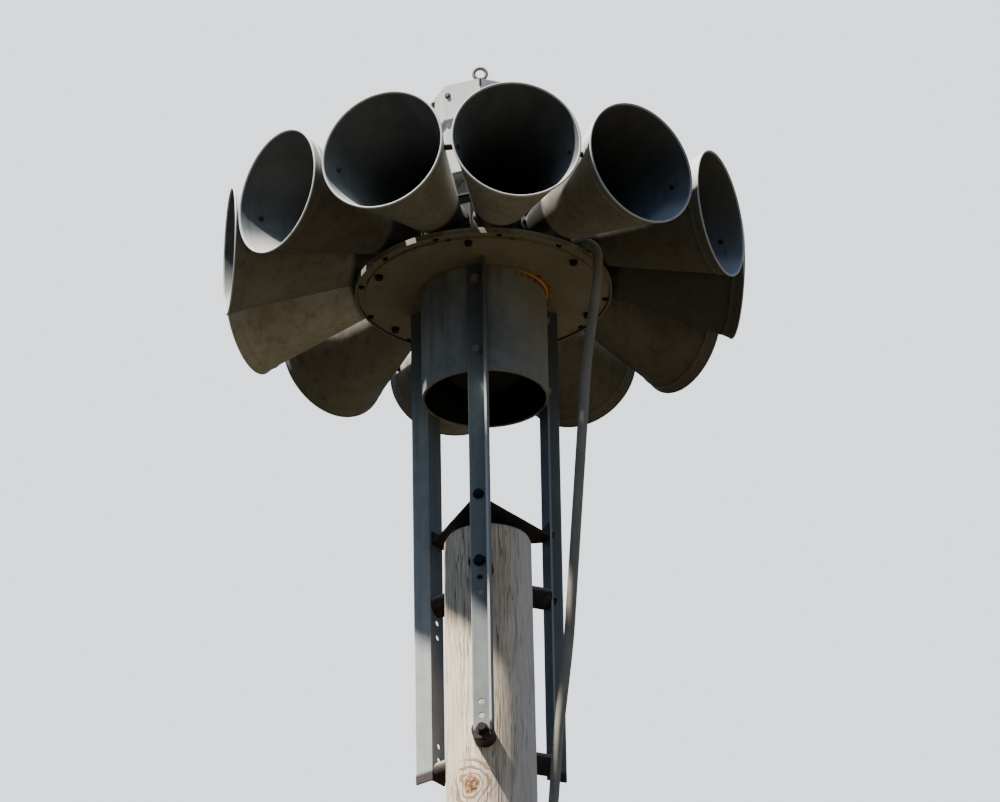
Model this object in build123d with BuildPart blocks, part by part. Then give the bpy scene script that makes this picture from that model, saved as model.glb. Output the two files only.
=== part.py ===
"""Civil defense siren tower: a twelve-horn siren on three angle legs, bolted to a wooden pole.

Millimetres, +Z up, Z = 0 at ground level in the middle of the pole's foot.
Azimuths are degrees anticlockwise seen from above, from the -Y direction, which horn 1 faces.
"""
from build123d import *
from math import cos, radians, sin
import os

# Pole
POLE_HEIGHT = 10360
POLE_TOP_DIAMETER = 236
POLE_FOOT_DIAMETER = 345

# Place of the horn ring: height of the horns' axes over the pole's top
RING_OVER_POLE = 852

# Horns
HORN_COUNT = 12
MOUTH_FROM_AXIS = 700
LIP_GAP = 22
THROAT_DIAMETER = 92
HORN_WALL = 2.6
LIP_DIAMETER = 6
BEAD_DIAMETER = 5
BEAD_BEHIND_MOUTH = 34
HORN_FLANGE_WIDTH = 13
HORN_FLANGE_THICKNESS = 5

# Drum that the horns open from
DRUM_ACROSS_FLATS = 500
DRUM_UP = 72
PORT_DEPTH = 45
TOP_PLATE_OVERHANG = 10
TOP_PLATE_THICKNESS = 6

# Base ring plate with a rim band, and the round plate bolted under it
BASE_RING_DIAMETER = 703
BASE_RING_THICKNESS = 5
HORN_OVER_RIM = 2.8
RIM_BAND_THICKNESS = 5
RIM_BAND_UP = 7
RIM_BAND_DOWN = 5
MOTOR_PLATE_INSET = 28
MOTOR_PLATE_THICKNESS = 7

# Motor and the open-bottomed can round it
CAN_DIAMETER = 345
CAN_WALL = 3
CAN_LENGTH = 320
CAN_RIM = 7
MOTOR_DIAMETER = 250
MOTOR_LENGTH = 215
MOTOR_END_DIAMETER = 190
MOTOR_END_LENGTH = 35

# Ties between neighbouring horns, near their mouths
TIE_DIAMETER = 16
TIE_BEHIND_MOUTH = 60

# Neck and eight-sided hood on top
PEDESTAL_DIAMETER = 130
PEDESTAL_HEIGHT = 154
HOOD_SIDES = 8
HOOD_CORNER_DIAMETER = 277
HOOD_OFF_NECK = 3
HOOD_SKIRT = 110
HOOD_EDGE_OVER_AXIS = 506
HOOD_ROOF_RISE = 48
HOOD_CROWN_DIAMETER = 60
HOOD_SHEET = 4
HOOD_LIP = 5
HOOD_LIP_HEIGHT = 6
HOOD_TURN = -8

# Lifting eye
EYE_OUTSIDE = 45
EYE_ROD = 10
EYE_COLLAR_DIAMETER = 34
EYE_COLLAR_THICKNESS = 8
EYE_SHANK_DIAMETER = 14
EYE_SHANK_HEIGHT = 14
EYE_SHANK_IN_RING = 3
EYE_TURN = -8

# Angle legs
LEG_COUNT = 3
LEG_AZIMUTH = -15
LEG_FLANGE = 56
LEG_THICKNESS = 6
LEG_HEEL_FROM_BOLTS = 32
LEG_END_PAST_BOLT = 28
LEG_HOLE = 17
LEG_ROOT_RADIUS = 5

# Heights of the legs' holes: can bolts below the horns' axes, the others below the pole's top
CAN_BOLTS_BELOW_AXIS = (143, 361)
MID_SPACER_BELOW_TOP = 142
LOW_SPACER_BELOW_TOP = 633
SPARE_HOLES_BELOW_TOP = (190, 233, 554, 594)

# Spreader plate between the legs, over the pole's top
SPREADER_OVER_POLE = 42
SPREADER_BOLT_UP = 14
SPREADER_THICKNESS = 4
SPREADER_TAB_WIDTH = 46
SPREADER_TAB_RISE = 34
SPREADER_HOLE = 14
SPREADER_HOLE_FROM_AXIS = 122
SPREADER_HOLE_AZIMUTH = 22

# Pipe spacers between legs and pole
SPACER_DIAMETER = 60
SPACER_BORE = 50

# Conduit from the drum down to the ground
CONDUIT_DIAMETER = 27.5
CONDUIT_AZIMUTH = 45
CONNECTOR_OVER_RIM = 2
CONDUIT_OFF_RING = 25
CONDUIT_OFF_POLE = 4
CONDUIT_BEND = 50
CONDUIT_DROP = 107
CONDUIT_DROP_BEND = 500

# Conduit's knees: the upper one in from the drop and below the horns' axes, the others from the
# axis and below the pole's top, each with its bend radius
CONDUIT_UPPER_KNEE_IN = 47
CONDUIT_UPPER_KNEE_BELOW_AXIS = 420
CONDUIT_UPPER_KNEE_BEND = 1200
CONDUIT_LOWER_KNEES = ((265, 371, 1600), (223, 635, 1800))
CONDUIT_JOINS_POLE_BELOW_TOP = 1388
CONDUIT_JOIN_BEND = 2400

# Connector on the drum and straps on the pole that hold the conduit
CONDUIT_CONNECTOR_DIAMETER = 34
CONDUIT_CONNECTOR_LENGTH = 34
STRAP_COUNT = 6
STRAP_WIDTH = 22
STRAP_THICKNESS = 3
STRAP_FOOT = 26
STRAP_END_MARGIN = 350

# Clearance where one piece seats on a curved face of another
SEAT = 0.3

# Horns worked out from the sizes above: the lips of neighbouring horns keep their gap
half_pitch = 180 / HORN_COUNT
lip_centre = MOUTH_FROM_AXIS - LIP_DIAMETER / 2
lip_to_side = lip_centre * sin(radians(half_pitch)) - LIP_DIAMETER / 2 - LIP_GAP / 2
mouth_radius = lip_to_side / cos(radians(half_pitch)) - HORN_WALL
drum_face = DRUM_ACROSS_FLATS / 2
horn_slope = (mouth_radius - THROAT_DIAMETER / 2) / (MOUTH_FROM_AXIS - drum_face)


def outward(azimuth):
    """Level direction away from the tower's axis at an azimuth."""
    return Vector(sin(radians(azimuth)), -cos(radians(azimuth)), 0)


def upright_plane(azimuth, height=0):
    """Plane through the tower's axis: its X points outwards and its Y points up."""
    return Plane(origin=(0, 0, height), x_dir=outward(azimuth), z_dir=outward(azimuth - 90))


def facing_plane(azimuth, distance, height):
    """Upright plane square to the outward direction, at a distance from the axis."""
    centre = outward(azimuth) * distance + Vector(0, 0, height)
    return Plane(origin=centre, x_dir=outward(azimuth + 90), z_dir=outward(azimuth))


def level_plane(azimuth, height):
    """Level plane on the axis: its X points outwards and its Y anticlockwise."""
    return Plane(origin=(0, 0, height), x_dir=outward(azimuth), z_dir=(0, 0, 1))


def horn_radius(distance):
    """Inner radius of a horn at a distance from the tower's axis."""
    return mouth_radius - (MOUTH_FROM_AXIS - distance) * horn_slope


def pole_radius(height):
    """Radius of the tapered pole at a height above ground."""
    return (POLE_FOOT_DIAMETER + (POLE_TOP_DIAMETER - POLE_FOOT_DIAMETER) * height / POLE_HEIGHT) / 2


def save(piece, name):
    """Label a finished piece and write its STEP file."""
    piece.label = name
    export_step(piece, f"parts/{name}.step")


# Heights and radii worked out from the sizes above
ring_z = POLE_HEIGHT + RING_OVER_POLE
rim_top = ring_z - horn_radius(BASE_RING_DIAMETER / 2) - HORN_WALL - HORN_OVER_RIM
base_ring_top = rim_top - RIM_BAND_UP
base_ring_under = base_ring_top - BASE_RING_THICKNESS
motor_plate_under = base_ring_under - MOTOR_PLATE_THICKNESS
can_end = motor_plate_under - CAN_LENGTH
drum_top = ring_z + DRUM_UP
pedestal_base = drum_top + TOP_PLATE_THICKNESS
pedestal_top = pedestal_base + PEDESTAL_HEIGHT
hood_edge = ring_z + HOOD_EDGE_OVER_AXIS
hood_base = hood_edge - HOOD_SKIRT
hood_top = hood_edge + HOOD_ROOF_RISE
mid_spacer_height = POLE_HEIGHT - MID_SPACER_BELOW_TOP
low_spacer_height = POLE_HEIGHT - LOW_SPACER_BELOW_TOP
spreader_top = POLE_HEIGHT + SPREADER_OVER_POLE
leg_end = low_spacer_height - LEG_END_PAST_BOLT
leg_length = motor_plate_under - leg_end
leg_face = CAN_DIAMETER / 2 + SEAT

os.makedirs("parts", exist_ok=True)
leg_names = ["front", "right", "left"]
leg_azimuths = [LEG_AZIMUTH + 360 / LEG_COUNT * i for i in range(LEG_COUNT)]
horn_azimuths = [360 / HORN_COUNT * i for i in range(HORN_COUNT)]

# Pole, one tapered trunk
with BuildPart() as pole:
    with BuildSketch(upright_plane(90)):
        with BuildLine():
            Polyline((0, 0), (pole_radius(0), 0), (pole_radius(POLE_HEIGHT), POLE_HEIGHT), (0, POLE_HEIGHT),
                     close=True)
        make_face()
    revolve(axis=Axis.Z)
save(pole.part, "pole")

# Cutter a seat clearance larger than the pole, for what is coped to it
with BuildPart() as pole_seat:
    with BuildSketch(upright_plane(90)):
        with BuildLine():
            Polyline((0, 0), (pole_radius(0) + SEAT, 0), (pole_radius(POLE_HEIGHT) + SEAT, POLE_HEIGHT),
                     (0, POLE_HEIGHT), close=True)
        make_face()
    revolve(axis=Axis.Z)

# Horns: a cone with a rolled lip, a bead behind it and a flange on the drum
flange_end = drum_face + HORN_FLANGE_THICKNESS
flange_radius = THROAT_DIAMETER / 2 + HORN_WALL + HORN_FLANGE_WIDTH
bead_at = MOUTH_FROM_AXIS - BEAD_BEHIND_MOUTH
for number, azimuth in enumerate(horn_azimuths, start=1):
    with BuildPart() as horn:
        with BuildSketch(upright_plane(azimuth, ring_z)):
            with BuildLine():
                Polyline(
                    (drum_face, THROAT_DIAMETER / 2),
                    (drum_face, flange_radius),
                    (flange_end, flange_radius),
                    (flange_end, horn_radius(flange_end) + HORN_WALL),
                    (MOUTH_FROM_AXIS, mouth_radius + HORN_WALL),
                    (MOUTH_FROM_AXIS, mouth_radius),
                    close=True,
                )
            make_face()
            with Locations((lip_centre, mouth_radius + HORN_WALL)):
                Circle(LIP_DIAMETER / 2)
            with Locations((bead_at, horn_radius(bead_at) + HORN_WALL)):
                Circle(BEAD_DIAMETER / 2)
        revolve(axis=Axis(origin=(0, 0, ring_z), direction=outward(azimuth)))
    save(horn.part, f"horn_{number:02d}")

# Drum, a closed housing with a blind port behind each horn
with BuildPart() as drum:
    with BuildSketch(level_plane(0, base_ring_top)):
        RegularPolygon(drum_face, HORN_COUNT, major_radius=False, rotation=half_pitch)
    extrude(amount=drum_top - base_ring_top)
    for azimuth in horn_azimuths:
        with BuildSketch(facing_plane(azimuth, drum_face, ring_z)):
            Circle(THROAT_DIAMETER / 2)
        extrude(amount=-PORT_DEPTH, mode=Mode.SUBTRACT)
save(drum.part, "horn_drum")

# Plate that closes the drum
with BuildPart() as top_plate:
    with BuildSketch(level_plane(0, drum_top)):
        RegularPolygon(drum_face + TOP_PLATE_OVERHANG, HORN_COUNT, major_radius=False, rotation=half_pitch)
    extrude(amount=TOP_PLATE_THICKNESS)
save(top_plate.part, "drum_top_plate")

# Base ring plate under the drum
with BuildPart() as base_ring:
    with BuildSketch(Plane.XY.offset(base_ring_under)):
        Circle(BASE_RING_DIAMETER / 2)
    extrude(amount=BASE_RING_THICKNESS)
    with BuildSketch(Plane.XY.offset(base_ring_under - RIM_BAND_DOWN)):
        Circle(BASE_RING_DIAMETER / 2)
        Circle(BASE_RING_DIAMETER / 2 - RIM_BAND_THICKNESS, mode=Mode.SUBTRACT)
    extrude(amount=RIM_BAND_DOWN + BASE_RING_THICKNESS + RIM_BAND_UP)
save(base_ring.part, "base_ring_plate")

# Round plate that carries the motor, bolted under the ring plate
with BuildPart() as motor_plate:
    with BuildSketch(Plane.XY.offset(motor_plate_under)):
        Circle(BASE_RING_DIAMETER / 2 - MOTOR_PLATE_INSET)
    extrude(amount=MOTOR_PLATE_THICKNESS)
save(motor_plate.part, "motor_plate")

# Open-bottomed can with a small turned-in rim
with BuildPart() as can:
    with BuildSketch(upright_plane(90)):
        with BuildLine():
            Polyline(
                (CAN_DIAMETER / 2, motor_plate_under),
                (CAN_DIAMETER / 2, can_end),
                (CAN_DIAMETER / 2 - CAN_RIM, can_end),
                (CAN_DIAMETER / 2 - CAN_RIM, can_end + CAN_WALL),
                (CAN_DIAMETER / 2 - CAN_WALL, can_end + CAN_WALL),
                (CAN_DIAMETER / 2 - CAN_WALL, motor_plate_under),
                close=True,
            )
        make_face()
    revolve(axis=Axis.Z)
save(can.part, "motor_can")

# Motor inside the can, with a smaller end bell
with BuildPart() as motor:
    with BuildSketch(upright_plane(90)):
        with BuildLine():
            body_end = motor_plate_under - MOTOR_LENGTH
            bell_end = body_end - MOTOR_END_LENGTH
            Polyline(
                (0, motor_plate_under),
                (MOTOR_DIAMETER / 2, motor_plate_under),
                (MOTOR_DIAMETER / 2, body_end),
                (MOTOR_END_DIAMETER / 2, bell_end),
                (0, bell_end),
                close=True,
            )
        make_face()
    revolve(axis=Axis.Z)
save(motor.part, "motor")

# Ties: short spacers that hold neighbouring horns apart, coped to their flanks
tie_along = MOUTH_FROM_AXIS - TIE_BEHIND_MOUTH
tie_side = horn_radius(tie_along) + HORN_WALL
tie_from_axis = tie_along * cos(radians(half_pitch)) + tie_side * sin(radians(half_pitch))
tie_half_gap = tie_along * sin(radians(half_pitch)) - tie_side * cos(radians(half_pitch))
with BuildPart() as horn_seats:
    for azimuth in (0, 2 * half_pitch):
        with BuildSketch(upright_plane(azimuth, ring_z)):
            with BuildLine():
                Polyline((drum_face, 0), (drum_face, THROAT_DIAMETER / 2 + HORN_WALL + SEAT),
                         (MOUTH_FROM_AXIS, mouth_radius + HORN_WALL + SEAT), (MOUTH_FROM_AXIS, 0), close=True)
            make_face()
        revolve(axis=Axis(origin=(0, 0, ring_z), direction=outward(azimuth)))
tie_middle = outward(half_pitch) * tie_from_axis + Vector(0, 0, ring_z)
across = Plane(origin=tie_middle, x_dir=outward(half_pitch), z_dir=outward(half_pitch + 90))
with BuildPart() as tie:
    with BuildSketch(across):
        Circle(TIE_DIAMETER / 2)
    extrude(amount=tie_half_gap + TIE_DIAMETER, both=True)
    add(horn_seats.part, mode=Mode.SUBTRACT)
with BuildPart() as ties:
    for azimuth in horn_azimuths:
        add(tie.part, rotation=(0, 0, azimuth))
save(ties.part, "horn_ties")

# Neck: a round pedestal on the drum, and the eight-sided neck that the hood covers
with BuildPart() as pedestal:
    with BuildSketch(Plane.XY.offset(pedestal_base)):
        Circle(PEDESTAL_DIAMETER / 2)
    extrude(amount=PEDESTAL_HEIGHT)
save(pedestal.part, "neck_pedestal")

hood_corner = HOOD_CORNER_DIAMETER / 2
corner_factor = 1 / cos(radians(180 / HOOD_SIDES))
with BuildPart() as neck:
    with BuildSketch(level_plane(HOOD_TURN, pedestal_top)):
        RegularPolygon(hood_corner - (HOOD_SHEET + HOOD_OFF_NECK) * corner_factor, HOOD_SIDES)
    extrude(amount=hood_edge - HOOD_SHEET - pedestal_top)
save(neck.part, "neck")

# Hood: a sheet cap with a low roof and a folded lip round its skirt
with BuildPart() as hood:
    with BuildSketch(level_plane(HOOD_TURN, hood_base)):
        RegularPolygon(hood_corner, HOOD_SIDES)
    extrude(amount=HOOD_SKIRT)
    with BuildSketch(level_plane(HOOD_TURN, hood_base)):
        RegularPolygon(hood_corner + HOOD_LIP * corner_factor, HOOD_SIDES)
    extrude(amount=HOOD_LIP_HEIGHT)
    with BuildSketch(level_plane(HOOD_TURN, hood_edge)):
        RegularPolygon(hood_corner, HOOD_SIDES)
    with BuildSketch(level_plane(HOOD_TURN, hood_top)):
        RegularPolygon(HOOD_CROWN_DIAMETER / 2, HOOD_SIDES)
    loft(ruled=True)
    with BuildSketch(level_plane(HOOD_TURN, hood_base)):
        RegularPolygon(hood_corner - HOOD_SHEET * corner_factor, HOOD_SIDES)
    extrude(amount=HOOD_SKIRT - HOOD_SHEET, mode=Mode.SUBTRACT)
save(hood.part, "hood")

# Lifting eye: collar, shank and ring
collar_top = hood_top + EYE_COLLAR_THICKNESS
eye_centre = collar_top + EYE_SHANK_HEIGHT + EYE_OUTSIDE / 2
with BuildPart() as eye:
    with BuildSketch(Plane.XY.offset(hood_top)):
        Circle(EYE_COLLAR_DIAMETER / 2)
    extrude(amount=EYE_COLLAR_THICKNESS)
    with BuildSketch(Plane.XY.offset(collar_top)):
        Circle(EYE_SHANK_DIAMETER / 2)
    extrude(amount=EYE_SHANK_HEIGHT + EYE_SHANK_IN_RING)
    with BuildSketch(upright_plane(EYE_TURN)):
        with Locations((0, eye_centre + EYE_OUTSIDE / 2 - EYE_ROD / 2)):
            Circle(EYE_ROD / 2)
    revolve(axis=Axis(origin=(0, 0, eye_centre), direction=outward(EYE_TURN)))
save(eye.part, "lifting_eye")

# Angle legs: one flange on the can, drilled for its bolts, and one that points outwards
free_edge = LEG_HEEL_FROM_BOLTS - LEG_FLANGE
inner_corner = LEG_HEEL_FROM_BOLTS - LEG_THICKNESS
spreader_bolt_height = spreader_top + SPREADER_BOLT_UP
holes = [ring_z - below for below in CAN_BOLTS_BELOW_AXIS]
holes += [POLE_HEIGHT - below for below in SPARE_HOLES_BELOW_TOP]
holes += [spreader_bolt_height, mid_spacer_height, low_spacer_height]
for name, azimuth in zip(leg_names, leg_azimuths):
    with BuildPart() as leg:
        with BuildSketch(level_plane(azimuth, leg_end)):
            with BuildLine():
                Polyline(
                    (leg_face, free_edge),
                    (leg_face + LEG_THICKNESS, free_edge),
                    (leg_face + LEG_THICKNESS, inner_corner),
                    (leg_face + LEG_FLANGE, inner_corner),
                    (leg_face + LEG_FLANGE, LEG_HEEL_FROM_BOLTS),
                    (leg_face, LEG_HEEL_FROM_BOLTS),
                    close=True,
                )
            make_face()
        extrude(amount=leg_length)
        root = outward(azimuth) * (leg_face + LEG_THICKNESS) + outward(azimuth + 90) * inner_corner
        root_middle = root + Vector(0, 0, leg_end + leg_length / 2)
        fillet(leg.edges().filter_by(Axis.Z).sort_by_distance(root_middle)[0], LEG_ROOT_RADIUS)
        for height in holes:
            with BuildSketch(facing_plane(azimuth, leg_face, height)):
                Circle(LEG_HOLE / 2)
            extrude(amount=LEG_THICKNESS, mode=Mode.SUBTRACT)
    save(leg.part, f"leg_{name}")

# Spreader plate: a triangle with a tab turned up against each leg
tab_reach = leg_face - SEAT
tab_height = SPREADER_THICKNESS + SPREADER_TAB_RISE
tab_middle = spreader_top - SPREADER_THICKNESS + tab_height / 2
corners = []
for azimuth in leg_azimuths:
    for side in (-1, 1):
        corners.append(outward(azimuth) * tab_reach + outward(azimuth + 90) * side * SPREADER_TAB_WIDTH / 2)
with BuildPart() as spreader:
    with BuildSketch(Plane.XY.offset(spreader_top - SPREADER_THICKNESS)):
        with BuildLine():
            Polyline(*[(c.X, c.Y) for c in corners], close=True)
        make_face()
        hole = outward(SPREADER_HOLE_AZIMUTH) * SPREADER_HOLE_FROM_AXIS
        with Locations((hole.X, hole.Y)):
            Circle(SPREADER_HOLE / 2, mode=Mode.SUBTRACT)
    extrude(amount=SPREADER_THICKNESS)
    for azimuth in leg_azimuths:
        with BuildSketch(facing_plane(azimuth, tab_reach, tab_middle)):
            Rectangle(SPREADER_TAB_WIDTH, tab_height)
        extrude(amount=-SPREADER_THICKNESS)
save(spreader.part, "spreader_plate")

# Pipe spacers: pieces of pipe between each leg and the pole, coped to the pole
spacer_length = leg_face - pole_radius(POLE_HEIGHT) + SPACER_DIAMETER / 2
for level, height in (("mid", mid_spacer_height), ("low", low_spacer_height)):
    for name, azimuth in zip(leg_names, leg_azimuths):
        with BuildPart() as spacer:
            with BuildSketch(facing_plane(azimuth, leg_face, height)):
                Circle(SPACER_DIAMETER / 2)
                Circle(SPACER_BORE / 2, mode=Mode.SUBTRACT)
            extrude(amount=-spacer_length)
            add(pole_seat.part, mode=Mode.SUBTRACT)
        save(spacer.part, f"{level}_spacer_{name}")

# Conduit: out of the drum between two horns, down to the pole, and down the pole to the ground
conduit_radius = CONDUIT_DIAMETER / 2
connector_start = drum_face / cos(radians(half_pitch))
conduit_start = connector_start + CONDUIT_CONNECTOR_LENGTH / 2
exit_height = rim_top + CONNECTOR_OVER_RIM + CONDUIT_CONNECTOR_DIAMETER / 2
drop_from_axis = BASE_RING_DIAMETER / 2 + CONDUIT_OFF_RING + conduit_radius
join_height = POLE_HEIGHT - CONDUIT_JOINS_POLE_BELOW_TOP
off_pole = conduit_radius + CONDUIT_OFF_POLE
route = [
    (conduit_start, exit_height),
    (drop_from_axis, exit_height),
    (drop_from_axis, exit_height - CONDUIT_DROP),
    (drop_from_axis - CONDUIT_UPPER_KNEE_IN, ring_z - CONDUIT_UPPER_KNEE_BELOW_AXIS),
    *[(distance, POLE_HEIGHT - below) for distance, below, bend in CONDUIT_LOWER_KNEES],
    (pole_radius(join_height) + off_pole, join_height),
    (pole_radius(0) + off_pole, 0),
]
lower_bends = [bend for distance, below, bend in CONDUIT_LOWER_KNEES]
bends = [CONDUIT_BEND, CONDUIT_DROP_BEND, CONDUIT_UPPER_KNEE_BEND, *lower_bends, CONDUIT_JOIN_BEND]
with BuildPart() as conduit:
    with BuildLine(upright_plane(CONDUIT_AZIMUTH)) as path:
        FilletPolyline(*route, radius=bends)
    with BuildSketch(facing_plane(CONDUIT_AZIMUTH, conduit_start, exit_height)):
        Circle(conduit_radius)
    sweep(path=path.line)
save(conduit.part, "conduit")

# Connector where the conduit leaves the drum
with BuildPart() as connector:
    with BuildSketch(facing_plane(CONDUIT_AZIMUTH, conduit_start, exit_height)):
        Circle(CONDUIT_CONNECTOR_DIAMETER / 2)
    extrude(amount=-CONDUIT_CONNECTOR_LENGTH)
    add(drum.part, mode=Mode.SUBTRACT)
save(connector.part, "conduit_connector")

# Straps that hold the conduit to the pole: a saddle over it and a foot on each side
strap_inside = conduit_radius + SEAT
strap_outside = strap_inside + STRAP_THICKNESS
strap_spacing = (join_height - 2 * STRAP_END_MARGIN) / (STRAP_COUNT - 1)
with BuildPart() as straps:
    for i in range(STRAP_COUNT):
        height = STRAP_END_MARGIN + strap_spacing * i
        foot = pole_radius(height) + SEAT
        middle = pole_radius(height) + off_pole
        with BuildSketch(level_plane(CONDUIT_AZIMUTH, height - STRAP_WIDTH / 2)):
            with Locations((middle, 0)):
                Circle(strap_outside)
            with Locations(((foot + middle) / 2, 0)):
                Rectangle(middle - foot, 2 * strap_outside)
            with Locations((foot + STRAP_THICKNESS / 2, 0)):
                Rectangle(STRAP_THICKNESS, 2 * (strap_outside + STRAP_FOOT))
            with Locations((middle, 0)):
                Circle(strap_inside, mode=Mode.SUBTRACT)
            with Locations((middle - strap_inside, 0)):
                Rectangle(2 * strap_inside, 2 * strap_inside, mode=Mode.SUBTRACT)
        extrude(amount=STRAP_WIDTH)
    add(pole_seat.part, mode=Mode.SUBTRACT)
save(straps.part, "conduit_straps")
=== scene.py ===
# %% [markdown]
# # A siren tower, dressed from its CAD frame
# The imported CAD model gives every size and place, in metres, with the ground at zero and Z up.
# This lesson never moves it. It puts finer surfaces over the horns and the pole, adds the
# bolts, and gives every piece a weathered finish made only of procedural nodes; into some of
# them light and shade are painted as well.

import bpy
import numpy as np
from mathutils import Matrix, Vector


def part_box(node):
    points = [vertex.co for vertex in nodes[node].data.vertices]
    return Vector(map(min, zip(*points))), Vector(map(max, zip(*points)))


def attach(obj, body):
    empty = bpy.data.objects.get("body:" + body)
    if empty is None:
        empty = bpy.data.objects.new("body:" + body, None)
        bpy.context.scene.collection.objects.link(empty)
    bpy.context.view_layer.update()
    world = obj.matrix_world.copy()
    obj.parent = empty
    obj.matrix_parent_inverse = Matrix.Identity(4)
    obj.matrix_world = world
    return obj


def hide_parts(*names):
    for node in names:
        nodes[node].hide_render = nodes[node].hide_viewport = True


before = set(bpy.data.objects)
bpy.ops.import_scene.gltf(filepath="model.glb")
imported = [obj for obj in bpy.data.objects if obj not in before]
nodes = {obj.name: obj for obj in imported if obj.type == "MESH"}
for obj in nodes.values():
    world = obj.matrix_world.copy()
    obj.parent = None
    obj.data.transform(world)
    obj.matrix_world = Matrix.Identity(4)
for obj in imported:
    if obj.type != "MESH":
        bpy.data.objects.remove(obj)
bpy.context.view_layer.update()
scene = bpy.context.scene

# %% [markdown]
# ## Places read from the frame
# A piece added here has to sit on what carries it. The heights are therefore read from the
# boxes of the CAD nodes, and only sizes that a box doesn't show are written out.

# %% Heights and radii of what the new pieces sit on
pole_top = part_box("pole")[1].z
pole_foot_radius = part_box("pole")[1].x
pole_top_radius = 0.118
spreader_top_of_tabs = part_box("spreader_plate")[1].z
horn_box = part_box("horn_01")
ring_height = (horn_box[0].z + horn_box[1].z) / 2
mouth_from_axis = -horn_box[0].y
drum_face = -horn_box[1].y
plate_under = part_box("motor_plate")[0].z
motor_plate_thick = 0.007
ring_under = plate_under + motor_plate_thick
can_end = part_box("motor_can")[0].z
can_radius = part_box("motor_can")[1].x
seat = 0.0003
leg_thick = 0.006
leg_face = can_radius + seat
leg_outside = leg_face + leg_thick
leg_azimuths = np.array([-15.0, 105.0, 225.0])
horn_azimuths = np.arange(12) * 30.0
print("ring height", round(ring_height, 4), "mouths at", round(mouth_from_axis, 4))


def outward(azimuth):
    """Level unit vectors away from the tower: (sin a, -cos a, 0) for azimuths in degrees."""
    a = np.radians(np.asarray(azimuth, float))
    return np.stack([np.sin(a), -np.cos(a), np.zeros_like(a)], axis=-1)


# %% [markdown]
# ## The camera
# The photograph looks up at the ring from eye height, about twenty metres away, with a long
# lens. The ring isn't in the middle of the picture, so the camera aims beside it and below it
# instead of shifting the lens, and it leans by about a degree.

# %% Camera at the photograph's place
view_azimuth = -7.754
look_up = np.radians(28.47)
lean = np.radians(-0.933)
range_to_ring = 20.21
focal_pixels = 7369.45
ring_right_of_middle = -16.86
ring_above_middle = 137.57
picture_width = 1000
sensor_width = 36.0

up_z = np.array([0.0, 0.0, 1.0])
ring_centre = ring_height * up_z
spot = ring_centre + range_to_ring * (
    np.cos(look_up) * outward(view_azimuth) - np.sin(look_up) * up_z
)
to_ring = (ring_centre - spot) / range_to_ring
level_right = np.cross(to_ring, up_z)
level_right /= np.linalg.norm(level_right)
level_up = np.cross(level_right, to_ring)
lens_right = np.cos(lean) * level_right + np.sin(lean) * level_up
lens_up = np.cos(lean) * level_up - np.sin(lean) * level_right
aim = (
    focal_pixels * to_ring
    - ring_right_of_middle * lens_right
    - ring_above_middle * lens_up
)
aim /= np.linalg.norm(aim)
lens_right = np.cross(aim, lens_up)
lens_right /= np.linalg.norm(lens_right)
lens_up = np.cross(lens_right, aim)

camera_data = bpy.data.cameras.new("photo_camera")
camera_data.sensor_width = sensor_width
camera_data.lens = focal_pixels * sensor_width / picture_width
camera = bpy.data.objects.new("photo_camera", camera_data)
scene.collection.objects.link(camera)
turn = Matrix([lens_right, lens_up, -aim]).transposed()
camera.matrix_world = Matrix.Translation(Vector(spot)) @ turn.to_4x4()
scene.camera = camera
print("camera at", spot.round(3), "lens", round(camera_data.lens, 1), "mm")

# %% [markdown]
# ## Small helpers for surfaces
# Each new piece is a grid of points that numpy works out at once. A grid that closes on
# itself in both directions, like a ring, needs no end caps; a grid with ends gets a fan of
# triangles round a middle point.


# %% From arrays to a mesh
def grid_quads(rows, columns, close_rows=False):
    """Quads between neighbouring rows and columns of a grid whose columns meet each other."""
    last = rows if close_rows else rows - 1
    i, j = np.meshgrid(np.arange(last), np.arange(columns), indexing="ij")
    after, beside = (i + 1) % rows, (j + 1) % columns
    quads = [
        i * columns + j,
        i * columns + beside,
        after * columns + beside,
        after * columns + j,
    ]
    return np.stack(quads, axis=-1).reshape(-1, 4)


def cap_triangles(first, columns, middle, reverse=False):
    """Fan of triangles from a row of points, starting at index first, to a middle point."""
    j = np.arange(columns)
    beside = first + (j + 1) % columns
    ends = [beside, first + j] if reverse else [first + j, beside]
    return np.stack([*ends, np.full(columns, middle)], axis=-1)


def make_piece(name, points, faces, smooth, slot, stands_for=(), **fields):
    """Mesh object from points and faces, riding on the tower's one body.

    Outward faces: if the signed volume, the sum of a . (b x c) / 6 over the faces split into
    triangles, comes out negative, every face is turned round.
    """
    points = np.asarray(points, float).reshape(-1, 3)
    triangles = [f[:, [0, k, k + 1]] for f in faces for k in range(1, f.shape[1] - 1)]
    a, b, c = (points[np.concatenate(triangles)[:, k]] for k in range(3))
    volume = np.einsum("ij,ij->i", a - points.mean(0), np.cross(b - a, c - a)).sum() / 6
    if volume < 0:
        faces = [f[:, ::-1] for f in faces]
    mesh = bpy.data.meshes.new(name)
    mesh.from_pydata(points.tolist(), [], [row for f in faces for row in f.tolist()])
    mesh.polygons.foreach_set("use_smooth", np.full(len(mesh.polygons), smooth))
    for field, values in fields.items():
        kind, key = ("FLOAT", "value") if values.ndim == 1 else ("FLOAT_VECTOR", "vector")
        layer = mesh.attributes.new(field, kind, "POINT")
        layer.data.foreach_set(key, values.astype(np.float32).ravel())
    mesh.update()
    piece = bpy.data.objects.new(name, mesh)
    scene.collection.objects.link(piece)
    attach(piece, "root")
    if stands_for:
        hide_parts(*stands_for)
    print(name, "points", len(points), "faces", len(mesh.polygons))
    return piece


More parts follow.
